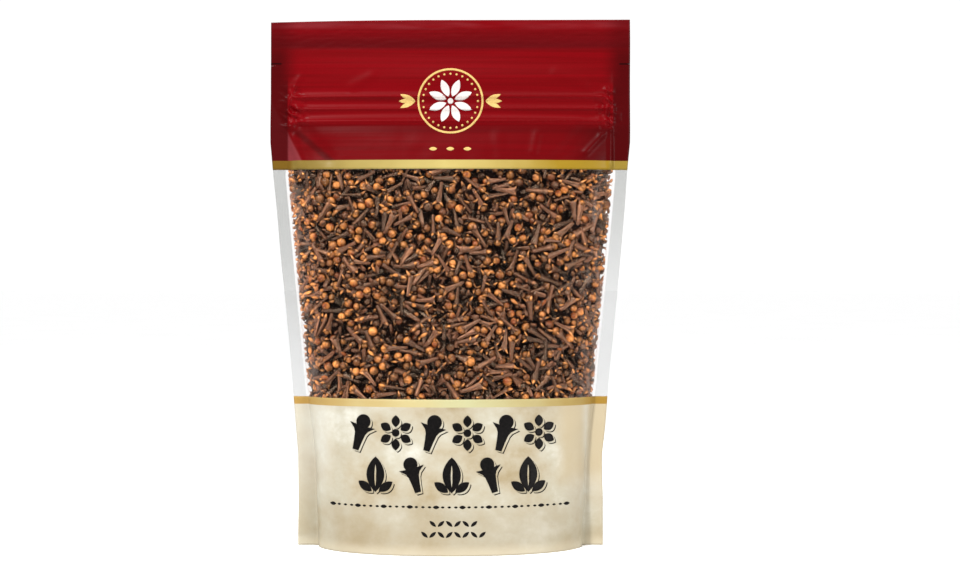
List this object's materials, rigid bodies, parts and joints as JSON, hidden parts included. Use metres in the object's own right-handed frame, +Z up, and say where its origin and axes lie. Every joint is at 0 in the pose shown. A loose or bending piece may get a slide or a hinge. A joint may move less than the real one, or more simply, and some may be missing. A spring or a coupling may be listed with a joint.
{
  "type": "stand-up pouch of whole cloves",
  "caption": "Sealed stand-up pouch of whole cloves, with a red press-to-close header, a clear middle and a cream printed base.",
  "frame": {"origin": "middle of the underside, where the bag rests", "axes": "+Z up along the bag, +Y from the front face to the back face, +X along the width"},
  "size_m": [0.19, 0.0778, 0.277],
  "materials": {
    "printed_film": "satin printed laminate: red header, gold stripes, cream base",
    "clear_film": "glossy clear film",
    "cloves": "dry, matt dark brown stems and golden brown buds"
  },
  "bodies": {
    "root": {"pouch": "printed_film"}
  },
  "joints": []
}
